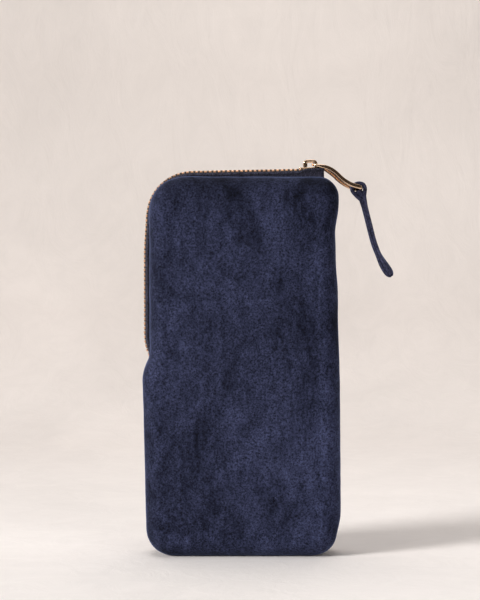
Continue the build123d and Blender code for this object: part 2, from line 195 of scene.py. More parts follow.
class Nodes:
    """A short way to write a node tree: it starts with a surface, its output and the texture coordinates."""

    def __init__(self, owner, surface="ShaderNodeBsdfPrincipled", output="ShaderNodeOutputMaterial"):
        owner.use_nodes = True
        self.owner = owner
        self.tree = owner.node_tree
        self.tree.nodes.clear()
        self.output = self.tree.nodes.new(output)
        self.surface = self.tree.nodes.new(surface)
        self.coords = self.tree.nodes.new("ShaderNodeTexCoord")
        self.put(self.output.inputs["Surface"], self.surface.outputs[0])

    def put(self, target, value):
        """Sets an input to a number, a colour or another node's output."""
        if isinstance(value, bpy.types.NodeSocket):
            self.tree.links.new(value, target)
        else:
            target.default_value = (*value, 1) if target.type == "RGBA" else value

    def add(self, kind, output, inputs, **settings):
        """One output of a new node, with the node's settings made and its inputs put."""
        node = self.tree.nodes.new(kind)
        for name, value in settings.items():
            setattr(node, name, value)
        for name, value in inputs.items():
            self.put(node.inputs[name], value)
        return node.outputs[output]

    def set(self, **inputs):
        """Puts the surface's inputs and gives the tree's owner."""
        for name, value in inputs.items():
            self.put(self.surface.inputs[name.replace("_", " ")], value)
        return self.owner

    def mapped(self, source="Object", scale=(1, 1, 1), rotation=(0, 0, 0)):
        inputs = {"Vector": self.coords.outputs[source], "Scale": scale, "Rotation": rotation}
        return self.add("ShaderNodeMapping", 0, inputs)

    def noise(self, scale, detail=2.0, rough=0.5, distortion=0.0, vector=None):
        """Noise with scale cells to the metre."""
        inputs = {"Vector": vector or self.coords.outputs["Object"], "Scale": scale}
        inputs.update(Detail=detail, Roughness=rough, Distortion=distortion)
        return self.add("ShaderNodeTexNoise", "Fac", inputs)

    def wave(self, scale, vector, direction="X"):
        inputs = {"Vector": vector, "Scale": scale}
        return self.add("ShaderNodeTexWave", "Fac", inputs, bands_direction=direction)

    def math(self, operation, a, b=0.0):
        return self.add("ShaderNodeMath", 0, {0: a, 1: b}, operation=operation)

    def blend(self, *parts):
        """A weighted sum: each part is (source, weight)."""
        weighted = [self.math("MULTIPLY", source, weight) for source, weight in parts]
        total = weighted[0]
        for part in weighted[1:]:
            total = self.math("ADD", total, part)
        return total

    def split(self, vector=None):
        node = self.tree.nodes.new("ShaderNodeSeparateXYZ")
        self.put(node.inputs[0], vector or self.coords.outputs["Object"])
        return node.outputs

    def ramp(self, factor, *stops):
        """Colours or greys by position: each stop is (position, value)."""
        node = self.tree.nodes.new("ShaderNodeValToRGB")
        while len(node.color_ramp.elements) < len(stops):
            node.color_ramp.elements.new(0.5)
        for element, (position, value) in zip(node.color_ramp.elements, stops):
            element.position = position
            element.color = (value, value, value, 1) if isinstance(value, float) else (*value, 1)
        self.put(node.inputs[0], factor)
        return node.outputs[0]

    def mix(self, factor, a, b, blend_type="MIX"):
        inputs = {"Factor": factor, "A": a, "B": b}
        return self.add("ShaderNodeMix", "Result", inputs, data_type="RGBA", blend_type=blend_type)

    def times(self, colour, shade):
        return self.mix(1.0, colour, shade, "MULTIPLY")

    def bump(self, height, strength, distance, *normal):
        """A bump of so many metres, on top of another bump where one is given."""
        inputs = {"Height": height, "Strength": strength, "Distance": distance}
        inputs.update(("Normal", below) for below in normal)
        return self.add("ShaderNodeBump", 0, inputs)


def new_material(name):
    return Nodes(bpy.data.materials.new(name))


def velvet_material(name, dark, light, sheen):
    """Short-pile velvet: patches of nap laid different ways, fine pile grain, and a pale sheen at grazing
    angles that is partly painted into its colour.
    """
    m = new_material(name)
    clouds = m.noise(24, 4, 0.6, 0.9, m.mapped(scale=(1, 1, 0.8), rotation=(0, 0.5, 0)))
    strokes = m.noise(85, 4, 0.65, 1.2, m.mapped(scale=(1.5, 1, 0.7), rotation=(0, -0.35, 0)))
    tufts = m.noise(330, 3, 0.6, 0.6, m.mapped(scale=(1.2, 1, 0.8)))
    pile = m.noise(1050, 2, 0.65)
    flecks = m.noise(2600, 1, 0.5)
    nap = m.ramp(m.blend((clouds, 0.5), (strokes, 0.3), (tufts, 0.2)), (0.395, 0.0), (0.61, 1.0))
    grain = m.ramp(m.blend((pile, 0.65), (flecks, 0.35)), (0.36, 0.2), (0.64, 1.9))
    # the pile is paler towards the foot and the right-hand edge, and has painted shade along the top under the
    # zip
    place = m.split()
    tone_and_shade_by_height = m.ramp(place["Z"], (0.0, 1.16), (0.1, 1.0), (0.171, 1.0), (0.183, 0.6))
    tone_and_shade_by_place = m.math("MULTIPLY", tone_and_shade_by_height, m.ramp(place["X"], (0.015, 1.0), (0.045, 1.22)))
    base = m.times(m.times(m.mix(nap, dark, light), grain), tone_and_shade_by_place)
    facing = m.add("ShaderNodeLayerWeight", "Facing", {"Blend": 0.3})
    # painted shade on the rounding: darker as the surface turns away from the camera
    base = m.times(base, m.ramp(facing, (0.02, 1.0), (0.32, 0.82)))
    # a pale blue painted sheen at the very edges
    rim = m.math("MULTIPLY", m.ramp(facing, (0.5, 0.0), (0.95, 1.0)), 0.85)
    soft = m.bump(clouds, 0.35, 0.0016, m.bump(strokes, 0.3, 0.0006))
    return m.set(
        Base_Color=m.mix(rim, base, VELVET_PAINTED_SHEEN),
        Roughness=0.92,
        Specular_IOR_Level=0.12,
        Sheen_Weight=m.math("ADD", m.math("MULTIPLY", nap, 0.35), sheen),
        Sheen_Roughness=0.36,
        Sheen_Tint=(0.28, 0.37, 0.66),
        Normal=m.bump(m.blend((pile, 0.7), (flecks, 0.3)), 0.55, 0.00035, soft),
    )


def lining_material():
    """A plain weave of crossing threads, with painted shade between them."""
    m = new_material("lining")
    bands = math.pi / (20 * LINING_THREAD * MM)
    warp, weft = (m.wave(bands, m.mapped(), direction) for direction in "XZ")
    height = m.math("MAXIMUM", warp, weft)
    # painted shade between the crossing threads
    weave = m.mix(height, tuple(c * 0.6 for c in LINING_COLOUR), LINING_COLOUR)
    return m.set(
        Base_Color=m.times(weave, m.ramp(m.noise(60, 3), (0.3, 0.75), (0.7, 1.2))),
        Roughness=0.45,
        Sheen_Weight=0.1,
        Normal=m.bump(height, 0.4, 0.0001),
    )


def tape_material():
    """Woven black tape: a herringbone of fine yarns, with painted highlights where they cross."""
    m = new_material("zip_tape")
    place = m.split(m.mapped("UV"))
    along, across = place["X"], place["Y"]
    slant = m.math("ADD", along, m.math("PINGPONG", across, TAPE_CHEVRON))
    ribs = m.math("SINE", m.math("MULTIPLY", slant, 2 * math.pi / TAPE_RIB))
    yarns = m.math("SINE", m.math("MULTIPLY", across, 2 * math.pi / TAPE_YARN))
    height = m.blend((ribs, 0.5), (m.math("MULTIPLY", ribs, yarns), 0.5))
    halved = m.math("MULTIPLY", height, 0.5)
    # painted highlights on the raised yarns where they cross, over the tape's black
    painted_yarn_glints = m.ramp(halved, (0.1, (0.013, 0.013, 0.022)), (0.5, (0.165, 0.168, 0.265)))
    return m.set(
        Base_Color=m.times(painted_yarn_glints, m.ramp(m.noise(1300, 2, 0.7), (0.35, 0.35), (0.65, 2.0))),
        Roughness=0.7,
        Specular_IOR_Level=0.12,
        Sheen_Weight=0.03,
        Normal=m.bump(height, 0.7, 0.00012),
    )


def metal_material(name, colour, rough, wear, reach, painted_shade_sky, painted_shade_heads=False):
    """Plated metal with fine scuffs, a little tarnish, and painted shade wherever other metal is within reach.

    The last-but-one argument holds the shares of open sky at which the painted shade is black and at which it
    is gone.
    The last one paints shade on the inner end of each tooth, for the gaps between teeth: its UV map's u is the
    share of the way out.
    """
    m = new_material(name)
    scuffs = m.noise(900, 4, 0.7, 0.5, m.mapped(scale=(1, 1, 3)))
    tarnish = m.ramp(m.noise(160, 3), (0.4, 0.0), (0.75, wear))
    base = m.mix(tarnish, colour, tuple(c * 0.45 for c in colour))
    # painted shade: black where other metal is close all round, none out in the open
    sky = m.add("ShaderNodeAmbientOcclusion", "AO", {"Distance": reach * MM})
    base = m.mix(m.ramp(sky, (painted_shade_sky[0], 0.0), (painted_shade_sky[1], 1.0)), tuple(c * 0.03 for c in colour), base)
    if painted_shade_heads:
        # painted shade on the inner end of each tooth, in the gaps between the teeth
        base = m.times(base, m.ramp(m.split(m.mapped("UV"))["X"], (0.62, 0.05), (0.75, 1.0)))
    return m.set(
        Base_Color=base,
        Metallic=1.0,
        Roughness=m.ramp(scuffs, (0.35, rough), (0.75, rough + 0.16)),
        Normal=m.bump(scuffs, 0.12, 0.00006),
    )


def wadding_material():
    """Needled padding: matted pale fibres."""
    m = new_material("padding")
    fibres = m.noise(420, 6, 0.75, 2.5)
    return m.set(
        Base_Color=m.ramp(fibres, (0.3, (0.48, 0.46, 0.42)), (0.7, (0.80, 0.78, 0.73))),
        Roughness=0.95,
        Sheen_Weight=0.3,
        Normal=m.bump(fibres, 0.8, 0.0006, m.bump(m.noise(90, 3), 0.5, 0.002)),
    )


def thread_material():
    """Twisted sewing thread, with painted shade in the grooves of its twist."""
    m = new_material("thread")
    twist = m.wave(900, m.mapped(rotation=(0.6, 0.6, 0.6)))
    # painted shade in the twist's grooves, lighter on its ridges
    return m.set(
        Base_Color=m.ramp(twist, (0.2, (0.010, 0.011, 0.022)), (0.8, (0.035, 0.037, 0.065))),
        Roughness=0.55,
        Normal=m.bump(twist, 0.6, 0.0001),
    )


VELVET_LOOK = velvet_material("velvet", (0.0062, 0.0077, 0.0185), (0.0345, 0.0405, 0.0865), 0.13)
STRAP_LOOK = velvet_material("strap_velvet", (0.020, 0.021, 0.042), (0.046, 0.047, 0.088), 0.25)
LINING_LOOK = lining_material()
TAPE_LOOK = tape_material()
TOOTH_LOOK = metal_material("tooth_metal", (0.90, 0.53, 0.31), 0.24, 0.35, 2.0, (0.2, 0.5), True)
PULL_LOOK = metal_material("pull_metal", (0.96, 0.68, 0.47), 0.11, 0.2, 2.0, (0.3, 0.8))
WADDING_LOOK = wadding_material()
THREAD_LOOK = thread_material()


def finish_piece(obj, material, slot_name, *nodes):
    """Gives a new piece its material and hides the CAD nodes that it stands for."""
    obj.data.materials.clear()
    obj.data.materials.append(material)
    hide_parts(*nodes)
    return obj


def bend_with_mouth(obj):
    """Bakes the piece's placement into its mesh."""
    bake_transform(obj)


# ---------------------------------------------------------------- the pouch's outline
SHORT_SIDE, LONG_SIDE = 48, 94      # steps along the outline's short and long sides
PINCH_REACH, HEM_REACH, PUCKER_REACH = 1.1, 0.7, 6.0
PUCKER_SIZE = 6.5


def cad_outline(node, depth, rays=1440):
    """The node's outermost points at one depth, all round its middle, as (x, z)."""
    source = frame["nodes"][node].data
    tree = BVHTree.FromPolygons([v.co for v in source.vertices], [p.vertices for p in source.polygons])
    found = []
    for i in range(rays):
        angle = 2 * math.pi * i / rays
        outward = Vector((math.cos(angle), 0, math.sin(angle)))
        start = Vector((MIDDLE[0], depth, MIDDLE[1])) * MM + outward
        hit = tree.ray_cast(start, -outward)[0]
        found.append((hit.x / MM, hit.z / MM))
    return np.array(found)


def resample(points, count):
    """count points at even steps along an open polyline, without its last point."""
    travelled = travelled_along(points)
    wanted = np.linspace(0, travelled[-1], count + 1)[:-1]
    return np.stack([np.interp(wanted, travelled, points[:, k]) for k in range(2)], axis=1)


def even_outline():
    """The outline and its outward normals, in even steps on four sides, from the lower left corner."""
    raw = cad_outline("back_panel", VELVET_EDGE)
    offset = raw - MIDDLE
    corners = [int(np.argmax(offset @ towards)) for towards in ((-1, -1), (1, -1), (1, 1), (-1, 1))]
    sides = []
    for i, count in enumerate((SHORT_SIDE, LONG_SIDE, SHORT_SIDE, LONG_SIDE)):
        first, last = corners[i], corners[(i + 1) % 4]
        if last < first:
            last += len(raw)
        run = raw[np.arange(first, last + 1) % len(raw)]
        sides.append(resample(run, count))
    points = np.concatenate(sides)
    along = unit(np.roll(points, -1, axis=0) - np.roll(points, 1, axis=0))
    normals = np.stack([along[:, 1], -along[:, 0]], axis=1)
    return points, unit((np.roll(normals, 1, axis=0) + 2 * normals + np.roll(normals, -1, axis=0)) / 4)


def bumps(heights, places):
    """Soft bumps summed at each height. A place is a bump's height, depth and spread."""
    return sum(depth * np.exp(-(((heights - z) / spread) ** 2)) for z, depth, spread in places)


def settled(points, outward):
    """The standing pouch: drawn in at its right edge, puffed out at the zip's lower end and its corner."""
    on_right = smoothstep(points[:, 0] / SIDE_FROM)
    on_left = smoothstep(-points[:, 0] / SIDE_FROM)
    from_corner = points - CORNER_MIDDLE
    turned = np.arctan2(from_corner[:, 1], from_corner[:, 0]) - math.radians(135)
    full = CORNER_FULL * np.exp(-((turned / CORNER_SPREAD) ** 2)) * (from_corner[:, 1] > 0)
    push = full + on_left * bumps(points[:, 1], LEFT_PUFFS) - on_right * bumps(points[:, 1], RIGHT_DENTS)
    return points + outward * push[:, None]


OUTLINE, OUTWARD = even_outline()
OUTLINE = settled(OUTLINE, OUTWARD)
ROUND = len(OUTLINE)
ZIP_SOFT = 5.0


def zip_share():
    """1 beside the zip and 0 along the rest of the edge, with a soft change at the zip's two ends."""
    right = smoothstep((ZIP_RIGHT - OUTLINE[:, 0]) / ZIP_SOFT)
    low = smoothstep((OUTLINE[:, 1] - ZIP_LOW) / ZIP_SOFT)
    return right * low


ZIP_SHARE = zip_share()


def edge_rings(side, inset, zip_edge, rings, pinch, hem, pucker):
    """Rings of points from a layer's edge, round its rounding, to the rim of its face."""
    turn = EDGE_ROUND - inset
    flat = HALF_THICK - EDGE_ROUND
    length = flat + turn * math.pi / 2
    edge = zip_edge * ZIP_SHARE
    for k in range(rings + 1):
        run = edge + (length - edge) * (k / rings) ** 1.3
        angle = np.clip((run - flat) / turn, 0, math.pi / 2)
        depth = np.where(run < flat, run, flat + turn * np.sin(angle))
        sunk = inset + turn * (1 - np.cos(angle))
        from_edge = run - edge
        sunk += pinch * (1 - ZIP_SHARE) * np.exp(-((from_edge / PINCH_REACH) ** 2))
        sunk += hem * ZIP_SHARE * np.exp(-((from_edge / HEM_REACH) ** 2))
        place = OUTLINE - OUTWARD * sunk[:, None]
        ring = np.stack([place[:, 0], side * depth, place[:, 1]], axis=1)
        fade = np.exp(-from_edge / PUCKER_REACH)
        folds = ripple(ring * (1, 0.25, 1), PUCKER_SIZE, 3 + side)
        ring[:, [0, 2]] += OUTWARD * (pucker * fade * folds)[:, None]
        yield ring


def face_points(rim):
    """The points inside a face, column by column, blended between the four sides of its rim."""
    bottom = rim[: SHORT_SIDE + 1]
    right = rim[SHORT_SIDE : SHORT_SIDE + LONG_SIDE + 1]
    top = rim[SHORT_SIDE + LONG_SIDE : 2 * SHORT_SIDE + LONG_SIDE + 1][::-1]
    left = np.concatenate([rim[2 * SHORT_SIDE + LONG_SIDE :], rim[:1]])[::-1]
    for i in range(1, SHORT_SIDE):
        for j in range(1, LONG_SIDE):
            u, v = i / SHORT_SIDE, j / LONG_SIDE
            across = (1 - u) * left[j] + u * right[j]
            upward = (1 - v) * bottom[i] + v * top[i]
            corners = (1 - u) * ((1 - v) * bottom[0] + v * top[0]) + u * ((1 - v) * bottom[-1] + v * top[-1])
            yield across + upward - corners


def face_index(rim, i, j):
    """The number of the point in a face's column i and row j. The face's rim starts at point number rim."""
    if j == 0:
        return rim + i
    if i == SHORT_SIDE:
        return rim + SHORT_SIDE + j
    if j == LONG_SIDE:
        return rim + 2 * SHORT_SIDE + LONG_SIDE - i
    if i == 0:
        return rim + ROUND - j
    return rim + ROUND + (i - 1) * (LONG_SIDE - 1) + j - 1


def cloth_half(name, side, inset, zip_edge, rings, pinch, hem, pucker):
    """One half of a cloth layer as an open sheet. side is -1 for the front.

    inset is how far the layer lies inside the velvet's surface. zip_edge is where it ends beside the zip,
    from the middle plane. pinch and hem draw its edge in at the seam and at the zip. pucker is how far the
    edge ripples.
    """
    points = list(edge_rings(side, inset, zip_edge, rings, pinch, hem, pucker))
    faces = []
    for first in range(0, rings * ROUND, ROUND):
        for i in range(ROUND):
            j = (i + 1) % ROUND
            faces.append((first + i, first + j, first + ROUND + j, first + ROUND + i))
    for i in range(SHORT_SIDE):
        for j in range(LONG_SIDE):
            corners = ((i, j), (i + 1, j), (i + 1, j + 1), (i, j + 1))
            faces.append([face_index(rings * ROUND, *corner) for corner in corners])
    if side > 0:
        faces = [face[::-1] for face in faces]
    return make_mesh(name, np.concatenate(points + [np.array(list(face_points(points[-1])))]), faces)


PINNED_RINGS = 4
PRESSURE = 6.0
FRAMES = 20
SWELL_CAP = 2.2
SWELL_EASE = 1.5          # the swell starts softly over this much of the raw swell
SWELL_SHARE = 0.6
CLOTH_SETTINGS = {
    "vertex_group_mass": "pins",
    "quality": 5,
    "mass": 0.05,
    "tension_stiffness": 12,
    "compression_stiffness": 12,
    "shear_stiffness": 5,
    "bending_stiffness": 0.4,
    "use_pressure": True,
    "uniform_pressure_force": PRESSURE,
}


def inflate(obj):
    """Cloth simulation of padded fabric: air presses from inside, and the rings at the edge are pinned."""
    rest = np.array([v.co for v in obj.data.vertices])
    pins = obj.vertex_groups.new(name="pins")
    pins.add(list(range(PINNED_RINGS * ROUND)), 1.0, "REPLACE")
    cloth = obj.modifiers.new("Cloth", "CLOTH")
    for setting, value in CLOTH_SETTINGS.items():
        setattr(cloth.settings, setting, value)
    cloth.settings.effector_weights.gravity = 0
    cloth.collision_settings.use_collision = False
    scene = bpy.context.scene
    for number in range(1, FRAMES + 1):
        scene.frame_set(number)
    depsgraph = bpy.context.evaluated_depsgraph_get()
    moved = np.array([v.co for v in obj.evaluated_get(depsgraph).data.vertices])
    obj.modifiers.clear()
    obj.vertex_groups.clear()
    scene.frame_set(1)
    outward = np.array([v.normal for v in obj.data.vertices])
    swell = np.maximum(((moved - rest) * outward).sum(axis=1) / MM, 0)
    swell = swell**2 / (swell + SWELL_EASE)
    swell = SWELL_CAP * np.tanh(SWELL_SHARE * swell / SWELL_CAP)
    swollen = rest + outward * swell[:, None] * MM
    swollen[:, 2] = np.maximum(swollen[:, 2], FOOT_CLEAR * MM)
    obj.data.vertices.foreach_set("co", swollen.astype(np.float32).ravel())
    obj.data.update()


def thicken(obj, thickness, levels):
    """Gives a sheet its thickness, inwards, and rounds its cut edges."""
    solid = obj.modifiers.new("Solidify", "SOLIDIFY")
    solid.thickness = thickness * MM
    solid.offset = -1
    solid.use_even_offset = True
    add_subdivision(obj, levels)
    apply_modifiers(obj)


# sheets behind one another: slot, CAD node, look, the sheet's own sizes, thickness and subdivisions
LAYERS = {
    "velvet": ("velvet", "panel", VELVET_LOOK, (0.0, VELVET_EDGE, 14, 0.85, 0.0, 0.22), VELVET, 1),
    "wadding": ("padding", "padding", WADDING_LOOK, (1.9, 8.8, 8, 1.8, 0.2, 0.1), 1.3, 0),
    "lining_cloth": ("lining", "lining", LINING_LOOK, (3.6, 5.0, 10, 0.2, -1.5, 0.35), 0.4, 0),
}


def place_half(piece, half, look, slot_name, node):
    """Back pieces ride on the pouch; front pieces stay where they are built and also stand for the corner."""
    if half == "back":
        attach(finish_piece(piece, look, slot_name, f"back_{node}"), "pouch")
    else:
        finish_piece(piece, look, slot_name, f"front_{node}", f"front_{node}_corner")
        bend_with_mouth(piece)


def build_cloth():
    """Velvet, padding and lining, back and front."""
    for half, side in HALVES:
        for layer, (slot_name, node, look, sizes, thickness, levels) in LAYERS.items():
            sheet = cloth_half(f"{half}_{layer}", side, *sizes)
            if layer == "velvet":
                inflate(sheet)
            thicken(sheet, thickness, levels)
            place_half(sheet, half, look, slot_name, node)


build_cloth()


# ---------------------------------------------------------------- the zip's path
slide_axis = np.array(joints["zip_slide"]["axis"])
SLOPE = slide_axis[2] / slide_axis[0]
CHAIN_LEFT = tape_low[0] + TAPE / 2
CHAIN_TOP = tape_high[2] - TAPE / 2       # at the zip's right-hand end
CHAIN_CORNER = 23.4
DIVE = 2.0                # the chain sinks between the velvet's edges at its lower end
DIVE_LENGTH = 9.0
CORNER_EASE = (167.0, 1.0, 11.0)          # the corner eases into the side: height, depth and spread


class Rail:
    """A path in the XZ plane that gives a place, a direction and a normal at a distance along it."""

    def __init__(self, path):
        self.path = path
        self.travelled = travelled_along(path)
        self.length = self.travelled[-1]

    def place(self, distance):
        return np.array([np.interp(distance, self.travelled, self.path[:, k]) for k in range(2)])

    def at(self, distance, spread=0.6):
        along = unit(self.place(min(distance + spread, self.length)) - self.place(max(distance - spread, 0)))
        return self.place(distance), along, np.array([along[1], -along[0]])


def chain_path(step=0.25):
    """The chain's middle line, as (x, z), from its right-hand end round the corner to its lower end."""
    turn = math.pi / 2 - math.atan(SLOPE)
    leftward = -heading(math.degrees(math.atan(SLOPE)))
    corner = np.array([CHAIN_LEFT, CHAIN_TOP - SLOPE * (ZIP_RIGHT - CHAIN_LEFT)])
    reach = CHAIN_CORNER * math.tan(turn / 2)
    start = np.array([ZIP_RIGHT, CHAIN_TOP])
    arc_start = corner - leftward * reach
    centre = arc_start + CHAIN_CORNER * np.array([-leftward[1], leftward[0]])
    arm = arc_start - centre
    angles = np.linspace(0, turn, int(CHAIN_CORNER * turn / step), endpoint=False)
    cosines, sines = np.cos(angles), np.sin(angles)
    bend = centre + np.stack([arm[0] * cosines - arm[1] * sines, arm[0] * sines + arm[1] * cosines], axis=1)
    down = np.array([CHAIN_LEFT, corner[1] - reach])
    top_run = np.linspace(start, arc_start, int(np.linalg.norm(arc_start - start) / step), endpoint=False)
    side_run = np.linspace(down, (CHAIN_LEFT, ZIP_LOW), int((down[1] - ZIP_LOW) / step))
    path = np.concatenate([top_run, bend, side_run])
    on_side = path[:, 0] < 0
    path[:, 0] += DIVE * on_side * np.clip((ZIP_LOW + DIVE_LENGTH - path[:, 1]) / DIVE_LENGTH, 0, 1) ** 1.3
    path[:, 0] += bumps(path[:, 1], [CORNER_EASE]) * smoothstep((-30 - path[:, 0]) / 12)
    return path


CHAIN = Rail(chain_path())
EDGE = Rail(np.concatenate([OUTLINE, OUTLINE[:1]]))


def seat_on(rail, distance):
    """A matrix whose columns run against the rail, to the back and along its normal, and then its place."""
    place, along, normal = rail.at(distance)
    matrix = np.eye(4)
    matrix[:3, 0] = (-along[0], 0, -along[1])
    matrix[:3, 1] = (0, 1, 0)
    matrix[:3, 2] = (normal[0], 0, normal[1])
    matrix[:3, 3] = (place[0], 0, place[1])
    return matrix


def put_at(points, matrix):
    return np.asarray(points) @ matrix[:3, :3].T + matrix[:3, 3]


def sweep(name, sections, closed=False, uv=None):
    """Joins rings into a tube, and caps an open one. uv holds the distances along and around."""
    count, ring = len(sections), len(sections[0])
    faces, corners = [], []
    for i in range(count if closed else count - 1):
        for j in range(ring):
            k, n = (j + 1) % ring, (i + 1) % count
            faces.append((i * ring + j, i * ring + k, n * ring + k, n * ring + j))
            if uv is not None:
                (u, v), (next_u, next_v) = (uv[0][i], uv[1][j]), (uv[0][i + 1], uv[1][j + 1])
                corners += [(u, v), (u, next_v), (next_u, next_v), (next_u, v)]
    if not closed:
        for i in (0, count - 1):
            faces.append([i * ring + j for j in range(ring)])
            if uv is not None:
                corners += [(uv[0][i], uv[1][j]) for j in range(ring)]
    made = make_mesh(name, np.concatenate(sections), faces, corners if uv is not None else None)
    fix_normals(made)
    return made


def smoothed(obj, levels=1):
    add_subdivision(obj, levels)
    apply_modifiers(obj)
    return obj


# ---------------------------------------------------------------- zip tapes
TAPE_START = 1.72         # the tape's edge, held by the teeth
TAPE_FOLD = 4.25
TAPE_FOLD_RADIUS = 0.75
TAPE_DROP = 0.22          # the deck sinks a little from the teeth to the fold
TAPE_RISE = 1.35          # at the open end the fold stands up beside the slider
RISE_FROM, RISE_LENGTH = 26.0, 7.0
FLANGE_SUNK = 1.45        # under the velvet


def thick_line(line, thickness):
    """A closed ring round an open line of (y, n) points, rounded at its ends."""
    along = unit(np.gradient(line, axis=0))
    normal = np.stack([-along[:, 1], along[:, 0]], axis=1) * thickness / 2
    tip = line[-1] + along[-1] * thickness * 0.4
    tail = line[0] - along[0] * thickness * 0.4
    return np.concatenate([line + normal, [tip], (line - normal)[::-1], [tail]])


def tape_section(gap, risen):
    """The tape's middle line in (y, n): from the teeth, over its fold, down, and in under the velvet.

    gap is how far the velvet's edge lies below the chain; risen runs from 0 to 1 where the fold stands up.
    """
    radius = TAPE_FOLD_RADIUS - 0.42 * risen
    fold = TAPE_FOLD + 0.32 * risen
    deck, top = fold - radius, TAPE_RISE * risen - TAPE_DROP
    line = [(TAPE_START, 0.0), (2.4, 0.0), (3.0, -0.3 * TAPE_DROP)]
    line.append((3.25 + 0.5 * risen, -0.7 * TAPE_DROP))
    line.append((deck - 0.05 - 0.2 * risen, top - radius * 0.6 * risen))
    for angle in (math.pi / 12, math.pi / 5, math.pi / 3, math.pi / 2):
        line.append((deck + radius * math.sin(angle), top - radius * (1 - math.cos(angle))))
    high, low = line[-1][1], min(-gap - 0.75, line[-1][1] - 0.05)
    for share in (0.25, 0.5, 0.75, 1.0):
        line.append((fold + (TAPE_FOLD - fold) * share, high + (low - high) * share))
    turn = EDGE_ROUND - FLANGE_SUNK
    line.append((4.5, low - FLANGE_SUNK + 1.0))
    for y in (5.2, 6.2, 7.3, 8.4):
        line.append((y, low + 0.75 - FLANGE_SUNK - turn + math.sqrt(turn**2 - (y - 5.0) ** 2)))
    return np.array(line)


def build_tape(name, side, step=1.3):
    stations = np.linspace(0, CHAIN.length, int(CHAIN.length / step))
    sections = []
    for distance in stations:
        place = CHAIN.place(distance)
        nearest = int(np.argmin(np.linalg.norm(OUTLINE - place, axis=1)))
        gap = float((place - OUTLINE[nearest]) @ OUTWARD[nearest])
        risen = float(smoothstep((place[0] - RISE_FROM) / RISE_LENGTH))
        ring = thick_line(tape_section(gap, risen), TAPE)
        local = np.stack([np.zeros(len(ring)), side * ring[:, 0], ring[:, 1]], axis=1)
        sections.append(put_at(local, seat_on(CHAIN, distance)))
    return sweep(name, sections, uv=(stations, travelled_along(np.concatenate([ring, ring[:1]]))))


# ---------------------------------------------------------------- teeth and stops
TOOTH_BEVEL = 0.09
TOOTH_REACH = 3.1         # the teeth's and stops' outer end, from the middle plane
TAPE_SLOT = 0.28          # half the height of the slot that holds the tape
FIRST_TOOTH, LAST_TOOTH = 7.2, 2.6      # from the chain's two ends
STOP_PLACE = 0.95
STOP_HALF_LENGTH = 0.75
UNEVEN = 0.02


def bevelled(low, high, bevel, segments):
    """Points and faces of the solid between two matching rings, with its edges rounded."""
    count = len(low)
    mesh = bmesh.new()
    made = [mesh.verts.new(point) for point in (*low, *high)]
    mesh.faces.new(made[:count])
    mesh.faces.new(made[count:][::-1])
    for i in range(count):
        j = (i + 1) % count
        mesh.faces.new((made[i], made[j], made[j + count], made[i + count]))
    bmesh.ops.recalc_face_normals(mesh, faces=mesh.faces)
    rounding = {"offset": bevel, "offset_type": "OFFSET", "segments": segments, "profile": 0.5}
    bmesh.ops.bevel(mesh, geom=mesh.edges[:], affect="EDGES", **rounding)
    mesh.verts.index_update()
    points = np.array([v.co for v in mesh.verts])
    faces = [[v.index for v in face.verts] for face in mesh.faces]
    mesh.free()
    return points, faces


def prism(profile, half_widths):
    """A solid from a (y, n) profile with its own half width along the chain at each point."""
    low, high = ([(sign * w, y, n) for (y, n), w in zip(profile, half_widths)] for sign in (-1, 1))
    return bevelled(low, high, TOOTH_BEVEL, 2)


def both_faces(upper, slot_end):
    """A profile that is the same above and below, with a slot for the tape at its heel."""
    slot = [(slot_end, -TAPE_SLOT), (slot_end, TAPE_SLOT)]
    return upper + [(y, -n) for y, n in upper[::-1]] + slot


def tooth_shape():
    """One tooth of the front tape: a waisted head across the middle plane, and legs that hold the tape."""
    upper = [(-3.05, TAPE_SLOT), (-TOOTH_REACH, 0.85), (-2.8, 1.12), (-2.1, 1.16)]
    upper += [(-1.5, 0.72), (-0.5, 0.55), (0.3, 0.6), (0.72, 0.35)]
    profile = both_faces(upper, -1.5)
    return prism(profile, [0.44 if y > -0.6 else 0.4 if y > -1.4 else 0.56 for y, _ in profile])


def stop_shape(inner):
    """A plain clamp squeezed on the front tape."""
    upper = [(-TOOTH_REACH, TAPE_SLOT), (-TOOTH_REACH, 0.64), (-2.85, 0.8)]
    upper += [(-inner - 0.2, 0.8), (-inner, 0.5)]
    profile = both_faces(upper, -1.55)
    return prism(profile, [STOP_HALF_LENGTH] * len(profile))


def row_of(name, shape, distances, side):
    """Copies of a shape along the chain, none quite alike. side is 1 for the back tape."""
    points, faces = shape
    mirrored = points * (1, -side, 1)
    all_points, all_faces = [], []
    for number, distance in enumerate(distances):
        uneven = 1 + UNEVEN * rng.standard_normal(3)
        all_points.append(put_at(mirrored * uneven, seat_on(CHAIN, distance)))
        all_faces += [[index + number * len(points) for index in face] for face in faces]
    # the UV's u, the share of the way out, places the painted shade on the teeth's inner ends
    outwards = [(abs(points[index][1]) / TOOTH_REACH, 0.5) for face in faces for index in face]
    made = make_mesh(name, np.concatenate(all_points), all_faces, outwards * len(distances))
    fix_normals(made)
    return made


def build_zip():
    for half, side in HALVES:
        place_half(build_tape(f"{half}_tape", side), half, TAPE_LOOK, "zip_tape", "zip_tape")
        offset = PITCH / 2 if side > 0 else 0.0
        places = np.arange(FIRST_TOOTH + offset, CHAIN.length - LAST_TOOTH, PITCH)
        teeth = row_of(f"{half}_teeth", tooth_shape(), places, side)
        place_half(teeth, half, TOOTH_LOOK, "zip_teeth", "zip_teeth")
    for name, inner, distance, node in (
        ("end_stops", 1.2, STOP_PLACE, "top_stops"),
        ("lower_stop", 0.02, CHAIN.length - STOP_PLACE, "bottom_stop"),
    ):
        halves = [row_of(f"{name}_{side}", stop_shape(inner), [distance], side) for side in (1, -1)]
        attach(finish_piece(join(name, halves), TOOTH_LOOK, "zip_teeth", node), "pouch")


build_zip()


